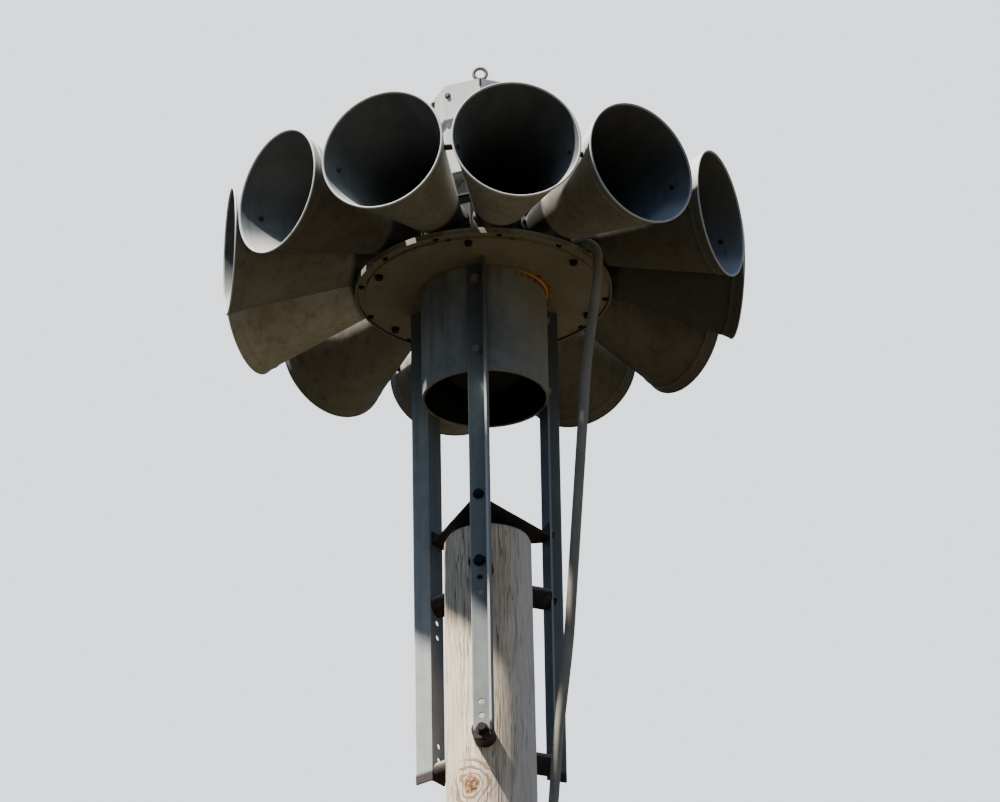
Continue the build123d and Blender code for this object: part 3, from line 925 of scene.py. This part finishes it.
def painted(
    name, fresh, faded, grime, dirt, dust_and_painted_light=0.0, underside_color=(0.12, 0.10, 0.06), rust_near=None,
    spread=0.0, marks=(),
):
    """Old enamel on sheet or rolled steel: other colours where the masks of the marks say (dark
    seams, rust colour, worn paint, painted light and painted shade), a second tone on the faces that
    look down, and rust where the last mask says."""
    material, tree, shader = start_material(name)
    where = object_place(tree)
    coat = use_group(enamel, Place=where, Fresh=fresh, Faded=faded, Grime=grime, Dirt=dirt)
    marked = cover(coat["Color"], *((mask(tree), color) for mask, color in marks))
    dusty_and_shaded = use_group(under, Place=where, Base=marked, Dust=underside_color, Amount=dust_and_painted_light)
    near = rust_near(tree) if rust_near else 0.0
    rusted = use_group(rust, Place=where, Near=near, Base=dusty_and_shaded["Color"], Spread=spread)
    rough = maths("ADD", coat["Roughness"], rusted["Mask"] * 0.2, clamp=True)
    finish_material(
        shader, rusted["Color"], rough, coat["Height"] + rusted["Height"], 0.35, specular=0.35
    )
    return material


# %% [markdown]
# ### Horn enamel
# The horns are grey outside. Inside the paint is darker, darkest on the ceiling, as painted
# shade, and the floor is lighter and a little blue, as painted sky light. Outside, the tops are
# painted lighter as sunlight, the faces that look down take a darker, warmer tone, and below
# that each horn is painted nearly black as shade by its own share. A pale patch on the floor
# near the mouth is painted sunlight, and the rolled lip is chalky and paler, partly a painted
# highlight. Rust starts at the lip, where chips let water in, and the throats and the horns'
# roots are painted nearly black as shade. An image texture would need its own map for each
# horn. Here every zone is a mask that comes from the horn's own fields: the distance from the
# mouth, and how far up the surface lies.


# %% Horn enamel
def horn_finish():
    """Enamel in the horn's own coordinates, with its layers from the paint up to the pale lip,
    painted light and shade among them.
    """
    material, tree, shader = start_material("horn_enamel_and_light")
    where = attribute(tree, "horn_place", "Vector")
    inner = attribute(tree, "inner")
    from_mouth = attribute(tree, "from_mouth")
    upness = attribute(tree, "upness")
    outside = 1.0 - inner
    # Inside, the paint is much darker than outside, darkest on the ceiling, as painted shade; the
    # floor is lighter and bluer, as painted sky light.
    floor_side = ease(upness, 0.5, -0.6)
    fresh_inside = blend(floor_side, (0.044, 0.050, 0.051), (0.116, 0.140, 0.151))
    faded_inside = blend(floor_side, (0.070, 0.077, 0.078), (0.168, 0.194, 0.205))
    coat = use_group(
        enamel,
        Place=where,
        Fresh=blend(inner, (0.43, 0.43, 0.39), fresh_inside),
        Faded=blend(inner, (0.55, 0.55, 0.505), faded_inside),
        Grime=blend(inner, (0.12, 0.11, 0.085), (0.048, 0.054, 0.056)),
        Dirt=0.5,
    )
    # Outside, the faces that look down take a darker, warmer tone.
    dusty_and_shaded = use_group(
        under, Place=where, Base=coat["Color"], Dust=(0.235, 0.21, 0.145), Amount=outside * 0.6
    )
    # Outside, the faces that look down are painted nearly black as shade, keeping only each horn's
    # own share of their colour.
    inside_and_upper = larger(inner, ease(upness, -0.25, 0.25))
    unshaded = larger(inside_and_upper, attribute(tree, "underside_lit_share"))
    # The upper outside is painted lighter, as sunlight.
    painted_sunlit_tops = ease(upness, -0.1, 0.5) * (outside * 0.6)
    # Inside, towards the throat, the paint goes nearly black as painted shade.
    throat = ease(from_mouth, 0.03, 0.36) * inner
    floor_dirt = ease(upness, -0.35, -0.98) * inner
    floor_dirt = floor_dirt * ease(noise(where, 16.0, 5.0, 0.65), 0.38, 0.62)
    # A pale patch on the inside floor near the mouth is painted sunlight.
    painted_sunlit_floor = ease(upness, -0.20, -0.65) * ease(from_mouth, 0.14, 0.06)
    # Outside, the part nearest the drum is painted nearly black as shade.
    root = ease(from_mouth, 0.325, 0.345) * outside
    color = cover(
        blend(unshaded, (0.004, 0.004, 0.003), dusty_and_shaded["Color"]),
        (painted_sunlit_tops, (0.72, 0.73, 0.71)),
        (throat * 0.9, (0.010, 0.011, 0.011)),
        (floor_dirt * 0.3, (0.075, 0.068, 0.05)),
        (painted_sunlit_floor * inner * 0.6, (0.53, 0.54, 0.52)),
        (root * 0.95, (0.010, 0.010, 0.010)),
    )
    low_lip = ease(from_mouth, 0.011, 0.0) * ease(upness, 0.6, -1.0, 0.15, 0.5)
    rusted = use_group(rust, Place=where, Near=low_lip, Base=color, Spread=0.05)
    # The rolled lip is chalky and paler, partly as a painted highlight.
    chalk_and_highlight = ease(from_mouth, 0.0050, 0.0030) * 0.6
    color = blend(chalk_and_highlight, rusted["Color"], (0.64, 0.655, 0.65))
    height = coat["Height"] + rusted["Height"]
    finish_material(shader, color, coat["Roughness"], height, 0.3, specular=0.3)
    return material


horn_enamel_and_light = horn_finish()

# %% [markdown]
# ### Housing, plates, can and legs
# The hood and its neck were lighter grey; under both, the faces that look down are painted
# darker as shade, and the hood's front slot is painted dark as its shade. The pedestal, the
# drum and its top plate are painted dark as shade. The plates under the drum bleed rust where
# the round plate meets the ring, and round the can's weld. The can's right side is painted
# lighter and warmer as light, and its inside nearly black as shade. The legs have a rust stain
# round and below each bolt, and their rims are paler, as worn paint and as painted highlight.
# Each leg is painted darker as shade beside the can, towards the pole and at its foot, and
# each as a whole is painted lighter or darker as light and shade. Each of these marks is a
# function that gives a mask from the place on the tower, so a mark stays at its joint or bolt
# when a size of the frame changes.


# %% Housing enamel
def hood_notch(tree):
    """Mask of the slot where the hood's two front sheets meet under the roof, painted dark as its
    shade.
    """
    x, y, z = split(stretch(object_place(tree), (1, 1, 1), np.radians(90 - hood_turn)))
    slot = ease(abs(y), 0.0045, 0.003) * ease(x, 0.12, 0.125)
    return slot * ease(z, hood_edge - 0.027, hood_edge - 0.023)


housing_coat = ((0.37, 0.385, 0.385), (0.44, 0.455, 0.455), (0.26, 0.248, 0.21), 0.3)
# Under the neck, the faces that look down are painted nearly black as shade.
housing_enamel_and_shade = painted(
    "housing_enamel_and_shade", *housing_coat, dust_and_painted_light=1.0, underside_color=(0.014, 0.015, 0.018)
)
# The pedestal is painted dark grey as shade.
pedestal_painted_shade = painted(
    "pedestal_painted_shade", (0.075, 0.088, 0.092), (0.10, 0.115, 0.12), (0.05, 0.055, 0.055), 0.4
)
# Under the hood, the faces that look down are painted darker as shade, and the front slot is painted
# dark as its shade.
hood_enamel_and_shade = painted(
    "hood_enamel_and_shade", *housing_coat, dust_and_painted_light=0.25, marks=[(hood_notch, (0.02, 0.02, 0.02))]
)

# The drum and its top plate are painted nearly black as shade, and darker still nearer the axis than
# the drum's faces.
drum_painted_shade, tree, shader = start_material("drum_painted_shade")
coat = use_group(
    enamel,
    Place=object_place(tree),
    Fresh=(0.012, 0.0125, 0.013),
    Faded=(0.020, 0.021, 0.022),
    Grime=(0.010, 0.010, 0.009),
    Dirt=0.5,
)
port_shade = ease(from_axis(tree), 0.249, 0.240)
color = blend(port_shade, coat["Color"], (0.008, 0.008, 0.008))
finish_material(shader, color, coat["Roughness"], coat["Height"], 0.3, specular=0.2)


# %% Plates and can
def right_side(tree):
    """Mask that rises towards the conduit's side, where the rain runs down and rust grows more; on
    the can it also carries a painted warm light.
    """
    return ease(split(object_place(tree))[0], 0.03, 0.15)


def band_at(tree, radius, width, height, depth):
    """Mask of a band round the tower at a radius and a height."""
    return use_group(
        band, Place=object_place(tree), Radius=radius, Width=width, Height=height, Depth=depth
    )["Mask"]


plate_edge, ring_seam = 0.3235, 0.3468


def plate_rust(tree):
    """Rust at the round plate's edge, and at the can's weld, where it's widest on the right."""
    edge = band_at(tree, plate_edge, 0.012, ring_under, 0.02)
    weld = band_at(tree, can_radius, 0.024, plate_under, 0.02) * (0.30 + right_side(tree) * 0.75)
    return larger(edge * 0.36, weld)


def rim_seam(tree):
    """Mask of the dark seam under the ring, where its flat turns into the rim."""
    return band_at(tree, ring_seam, 0.0065, ring_under, 0.0065)


def can_rust(tree):
    """Rust at the weld on top and, less of it, at the rolled bottom rim."""
    top = band_at(tree, can_radius, 0.05, plate_under, 0.032)
    rim = band_at(tree, can_radius, 0.05, can_end, 0.012)
    return larger(top, rim * 0.35) * (0.4 + right_side(tree) * 0.75)


def painted_warm_light(tree):
    """Share of the lighter, warmer tone that the right side is painted with, as warm light."""
    return right_side(tree) * 0.6


def can_inside_shade(tree):
    """Mask of the can's inside, painted nearly black as shade: nearer the axis than its outer face,
    and over its rim.
    """
    inside = ease(from_axis(tree), can_radius - 0.001, can_radius - 0.0022)
    return inside * ease(split(object_place(tree))[2], can_end + 0.001, can_end + 0.005)


# Under the plates, the faces that look down take a darker, warmer tone.
plate_enamel = painted(
    "plate_enamel", (0.19, 0.18, 0.145), (0.255, 0.24, 0.195), (0.10, 0.088, 0.062), 0.5,
    dust_and_painted_light=0.75, underside_color=(0.165, 0.145, 0.10), rust_near=plate_rust, spread=0.15,
    marks=[(rim_seam, (0.025, 0.016, 0.010))],
)
# The can's base is cool, and its right side is painted lighter and warmer as light; its inside is
# painted nearly black as shade.
can_enamel_light_and_shade = painted(
    "can_enamel_light_and_shade", (0.165, 0.182, 0.185), (0.235, 0.255, 0.255), (0.10, 0.095, 0.08), 0.5,
    rust_near=can_rust, spread=0.1,
    marks=[(painted_warm_light, (0.275, 0.24, 0.17)), (can_inside_shade, (0.012, 0.011, 0.010))],
)

# %% Legs and conduit
bolt_heights = [*can_bolt_heights, spreader_bolt_height, *spacer_heights]
leg_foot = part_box("leg_front")[0].z
leg_fresh, leg_faded, leg_edge_and_highlight = np.array(
    [(0.205, 0.236, 0.243), (0.28, 0.315, 0.320), (0.62, 0.635, 0.63)]
)


def leg_finish(name, azimuth, tone):
    """Leg paint with rust stains at the bolts, paler rims of worn paint and painted highlight, and
    painted shade towards the pole, beside the can and at the foot. The tone makes the whole leg
    lighter or darker, as painted light and shade. Places and directions are turned so that X
    runs outwards and Y across the leg's flange."""
    turn = np.radians(90 - azimuth)

    def turned(vector):
        """X outwards, Y across the flange and Z up."""
        return split(stretch(vector, (1, 1, 1), turn))

    def near(tree):
        """Rust round the bolts: each stain takes the larger of itself and those before it."""
        _, y, z = turned(object_place(tree))
        mask = 0.0
        for height in bolt_heights:
            mask = use_group(stain, Sideways=y, Up=z, Bolt_height=height, Other=mask)["Mask"]
        return mask * 0.6

    def edge_wear_and_highlight(tree):
        """The flanges' toe and free rim, paler as worn paint and as painted highlight, most of all
        below the can.
        """
        x, y, z = turned(object_place(tree))
        toe = ease(x, leg_face + 0.0525, leg_face + 0.0545)
        free = ease(y, -0.0215, -0.0232)
        return larger(toe, free) * ease(z, can_end + 0.03, can_end - 0.05, 0.12, 0.85)

    def inner_face(tree):
        """Faces that look towards the pole, painted darker and bluer as shade."""
        return ease(turned(facing(tree))[0], -0.5, -0.9) * 0.6

    def plate_shade(tree):
        """The part beside the can, painted darker as shade the nearer it is to the plates."""
        z = split(object_place(tree))[2]
        return ease(z, can_end - 0.12, can_end + 0.20, 0.0, 0.78)

    def foot(tree):
        """The leg's cut lower end, painted nearly black as shade."""
        return ease(split(object_place(tree))[2], leg_foot + 0.034, leg_foot + 0.020)

    return painted(
        name, tone * leg_fresh, tone * leg_faded, (0.12, 0.12, 0.105), 0.35, rust_near=near,
        spread=0.14,
        marks=[
            (edge_wear_and_highlight, tone * leg_edge_and_highlight),
            (inner_face, (0.055, 0.066, 0.080)),
            (plate_shade, (0.055, 0.062, 0.066)),
            (foot, (0.026, 0.019, 0.015)),
        ],
    )


leg_names = ("front", "right", "left")
# Each leg's paint is made lighter or darker as a whole, as painted light and shade: the left
# lightest, the right darkest.
leg_light_tones = (0.87, 0.52, 1.20)
leg_paints_and_light = [
    leg_finish(f"leg_paint_{name}", azimuth, tone)
    for name, azimuth, tone in zip(leg_names, leg_azimuths, leg_light_tones)
]
conduit_enamel = painted(
    "conduit_enamel", (0.20, 0.19, 0.155), (0.27, 0.255, 0.21), (0.12, 0.11, 0.085), 0.5, spread=0.2
)

# %% [markdown]
# ### Bare and rusty steel
# The spacers, the spreader plate and the big bolts carry almost no paint: dark brown rust
# with orange where it is young, and a pale film on the faces that look up, which stands for
# grit and for painted sunlight. One flat brown would look like plastic, so a coarse noise says
# where the rust is young, and a fine one makes it rough. The lifting eye is dull galvanised
# steel. The motor, and the bolts under the plates and at the horn flanges, are painted nearly
# black as shade.


# %% Bare metals
def rusty(name, dark, warm, share, dust_and_painted_light=0.0):
    """Old rust: a dark crust, patches of younger, warmer rust, and a pale film on the faces that
    look up, which stands for grit and for painted sunlight.
    """
    material, tree, shader = start_material(name)
    where = object_place(tree)
    coarse = noise(where, 30.0, 6.0, 0.65, 0.4)
    fine = noise(where, 300.0, 4.0, 0.6)
    young = ease(coarse + fine * 0.2, 0.68 - share, 0.82 - share)
    color = cover(
        blend(young, dark, warm),
        (ease(fine, 0.45, 0.75), (0.020, 0.015, 0.012)),
        # A pale film on the faces that look up: grit, and painted sunlight.
        (ease(split(facing(tree))[2], 0.1, 0.8) * dust_and_painted_light, (0.42, 0.36, 0.30)),
    )
    rough = ease(fine, 0.3, 0.7, 0.62, 0.9)
    finish_material(shader, color, rough, coarse + fine * 0.5, 0.5, specular=0.3, relief=0.0008)
    return material


rusty_steel = rusty("rusty_steel", (0.018, 0.015, 0.013), (0.050, 0.032, 0.021), 0.10, dust_and_painted_light=0.75)
spreader_rust_lit_tops = rusty("spreader_rust_lit_tops", (0.030, 0.025, 0.022), (0.075, 0.045, 0.027), 0.05, dust_and_painted_light=0.4)
bolt_rust = rusty("bolt_rust", (0.05, 0.045, 0.038), (0.12, 0.075, 0.045), 0.12)
# Nearly black as painted shade: the motor inside the can, and the bolts under the plates and at the
# horn flanges.
near_black_shade = rusty("near_black_shade", (0.007, 0.007, 0.007), (0.014, 0.013, 0.012), 0.1)
weld_rust = painted(
    "weld_rust", (0.13, 0.10, 0.06), (0.17, 0.13, 0.08), (0.10, 0.07, 0.04), 0.3,
    marks=[(right_side, (0.50, 0.27, 0.10))],
)

galvanised, tree, shader = start_material("galvanised_steel")
where = object_place(tree)
spangle = noise(where, 160.0, 3.0, 0.5, 0.6)
worn = noise(where, 34.0, 5.0, 0.6)
color = blend(ease(spangle, 0.35, 0.65), (0.075, 0.075, 0.075), (0.13, 0.13, 0.127))
color = blend(ease(worn, 0.52, 0.68), color, (0.20, 0.15, 0.10))
rough = ease(worn, 0.3, 0.7, 0.42, 0.7)
finish_material(shader, color, rough, spangle, 0.25, specular=0.5, relief=0.0004)

# %% [markdown]
# ### Weathered wood
# The sapwood is cream, with dark hairs and streaks along the grain, and its right side is
# painted paler and greyer, as weathering and as painted light. Fibres are noise squeezed to
# thin lines: the grain coordinate is stretched hard along the pole. Because that coordinate
# already bends round the knots, the fibres do too. Round each knot the rings swirl, and its
# core is mottled orange and brown.

# %% Wood grain
wood, tree, shader = start_material("weathered_wood")
where = attribute(tree, "grain_place", "Vector")
knot = attribute(tree, "knot")
fibres = noise(stretch(where, (1, 1, 0.04)), 380.0, 3.0, 0.6)
streaks = noise(stretch(where, (1, 1, 0.045)), 190.0, 3.0, 0.6)
bands = noise(stretch(where, (1, 1, 0.05)), 55.0, 3.0, 0.5, 0.3)
weather = noise(where, 4.0, 4.0, 0.6)
cream = blend(ease(weather, 0.35, 0.65), (0.68, 0.575, 0.435), (0.82, 0.71, 0.55))
contour = abs(noise(stretch(where, (1, 1, 0.04)), 90.0, 2.0, 0.5) - 0.5)
grouped = ease(noise(stretch(where, (1, 1, 0.25)), 20.0, 2.0, 0.5), 0.34, 0.56)
hairs = ease(contour, 0.026, 0.010) * grouped

# %% Knots, year rings on the end, and the wood's colour
wobble = noise(where, 24.0, 4.0, 0.6)
drift = noise(where, 13.0, 2.0, 0.5)
phase = knot * 9.0 + drift * 24.0
rings = ease(maths("SINE", phase + wobble * 7.0), 0.0, 0.8)
near_knot = ease(knot, 3.4, 2.0)
knot_core = ease(knot + (wobble - 0.5) * 1.3, 1.15, 0.8)
mottle = noise(object_place(tree), 95.0, 3.0, 0.6)
core_color = blend(ease(mottle, 0.40, 0.60), (0.10, 0.042, 0.018), (0.46, 0.24, 0.095))
year = maths("SINE", from_axis(tree) * 1500.0 + noise(object_place(tree), 9.0) * 14.0)
end_color = blend(ease(year, -0.7, 0.9), (0.17, 0.15, 0.13), (0.30, 0.27, 0.23))
# The right side is painted paler and greyer: weathering, and painted light.
silver_and_painted_light = ease(split(object_place(tree))[0], 0.02, 0.09) * 0.5
color = cover(
    cream,
    (ease(bands, 0.56, 0.40) * 0.3, (0.47, 0.395, 0.31)),
    (ease(streaks, 0.48, 0.38) * 0.55, (0.34, 0.265, 0.195)),
    (ease(fibres, 0.50, 0.35) * 0.45, (0.29, 0.225, 0.165)),
    (hairs * 0.8, (0.17, 0.105, 0.06)),
    (near_knot * rings * 0.95, (0.29, 0.19, 0.11)),
    (knot_core * 0.95, core_color),
    (attribute(tree, "end_grain"), end_color),
    (silver_and_painted_light, (0.74, 0.72, 0.68)),
    (ease(attribute(tree, "crack"), 0.12, 0.75), (0.022, 0.016, 0.012)),
)
height = fibres * 0.8 + streaks * 0.9 + rings * near_knot * -0.3
rough = ease(fibres, 0.3, 0.7, 0.9, 0.72)
finish_material(shader, color, rough, height, 0.75, specular=0.25, relief=0.0016)

# %% [markdown]
# ## Paint the pieces
# New pieces and CAD nodes get their materials the same way: every slot of the object is
# filled with the finish.


# %% Give every piece its finish
def finish_with(objects, material):
    """Fills every material slot of the objects with one material."""
    for made in objects:
        if not made.data.materials:
            made.data.materials.append(material)
        for slot in made.material_slots:
            slot.material = material
    print(material.name, "on", *[made.name for made in objects])


finish_with([pole_piece], wood)
finish_with(horn_pieces, horn_enamel_and_light)
finish_with([nodes["horn_drum"], nodes["drum_top_plate"]], drum_painted_shade)
finish_with([nodes["neck_pedestal"]], pedestal_painted_shade)
finish_with([nodes["neck"]], housing_enamel_and_shade)
finish_with([nodes["hood"]], hood_enamel_and_shade)
finish_with([top_bolts, hood_bolts], bolt_rust)
finish_with([nodes["base_ring_plate"], nodes["motor_plate"]], plate_enamel)
finish_with([nodes["motor_can"]], can_enamel_light_and_shade)
finish_with([nodes["motor"], plate_bolts, ring_bolts, flange_bolts], near_black_shade)
for name, paint in zip(leg_names, leg_paints_and_light):
    finish_with([nodes[f"leg_{name}"]], paint)
finish_with([nodes[n] for n in nodes if "spacer" in n], rusty_steel)
finish_with([nodes["horn_ties"], lag_bolts, spreader_bolts, mouth_bolts], rusty_steel)
finish_with([nodes["spreader_plate"]], spreader_rust_lit_tops)
finish_with([nodes[n] for n in nodes if "conduit" in n], conduit_enamel)
finish_with([sleeves, can_bolts], conduit_enamel)
finish_with([nodes["lifting_eye"]], galvanised)
finish_with([can_weld], weld_rust)

# %% [markdown]
# ## Floor and light
# The sky lights the tower softly from everywhere above, a little blue, and the ground gives
# back a dim warm light, brighter in front and on the right. The sun stands high on the left.
# What the camera sees as floor and background is plain and pale, so the Light Path node shows
# it one colour and lights with another.

# %% Floor
half_floor = 30.0
floor_mesh = bpy.data.meshes.new("floor")
corner = half_floor * np.array([[-1, -1, 0], [1, -1, 0], [1, 1, 0], [-1, 1, 0]], float)
floor_mesh.from_pydata(corner.tolist(), [], [(0, 1, 2, 3)])
floor = bpy.data.objects.new("floor", floor_mesh)
scene.collection.objects.link(floor)
print("floor", 2 * half_floor, "m wide")
floor_paint, tree, shader = start_material("floor_paint")
seen = Value(add_node(tree, "ShaderNodeLightPath").outputs["Is Camera Ray"])
bright_side = outward(65.0)
x, y = split(object_place(tree))[:2]
to_bright = x * bright_side[0] + y * bright_side[1]
ground = blend(ease(to_bright, -9.0, 12.0), (0.020, 0.019, 0.015), (0.092, 0.079, 0.050))
feed(blend(seen, ground, (0.72, 0.72, 0.70)), shader.inputs["Base Color"])
feed(0.9, shader.inputs["Roughness"])
feed(0.1, shader.inputs["Specular IOR Level"])
finish_with([floor], floor_paint)

# %% Sky
world = bpy.data.worlds.new("soft_sky")
scene.world = world
world.use_nodes = True
tree = world.node_tree
tree.nodes.clear()
rightward, _, height = split(Value(add_node(tree, "ShaderNodeTexCoord").outputs["Generated"]))
sky = blend(ease(height, 0.0, 0.9), (0.38, 0.51, 0.69), (0.19, 0.32, 0.64))
fields = blend(ease(rightward, -0.5, 0.9), (0.05, 0.046, 0.034), (0.175, 0.155, 0.11))
lit = add_node(tree, "ShaderNodeBackground")
feed(blend(ease(height, -0.04, 0.03), fields, sky), lit.inputs["Color"])
feed(0.75, lit.inputs["Strength"])
shown = add_node(tree, "ShaderNodeBackground")
feed((0.78, 0.82, 0.87), shown.inputs["Color"])
feed(2.2, shown.inputs["Strength"])
seen = Value(add_node(tree, "ShaderNodeLightPath").outputs["Is Camera Ray"])
choose = add_node(tree, "ShaderNodeMixShader")
world_output = add_node(tree, "ShaderNodeOutputWorld")
feed(seen, choose.inputs[0])
tree.links.new(lit.outputs[0], choose.inputs[1])
tree.links.new(shown.outputs[0], choose.inputs[2])
tree.links.new(choose.outputs[0], world_output.inputs[0])

# %% Sun
sun_azimuth = -70.0
sun_height = np.radians(59.0)
to_sun = np.cos(sun_height) * outward(sun_azimuth) + np.sin(sun_height) * up_z
sun_data = bpy.data.lights.new("sun", "SUN")
sun_data.energy = 15.0
sun_data.angle = np.radians(2.0)
sun_data.color = (1.0, 0.93, 0.83)
sun = bpy.data.objects.new("sun", sun_data)
scene.collection.objects.link(sun)
sun.rotation_mode = "QUATERNION"
sun.rotation_quaternion = Vector(to_sun).to_track_quat("Z", "Y")
print("sun towards", to_sun.round(3))
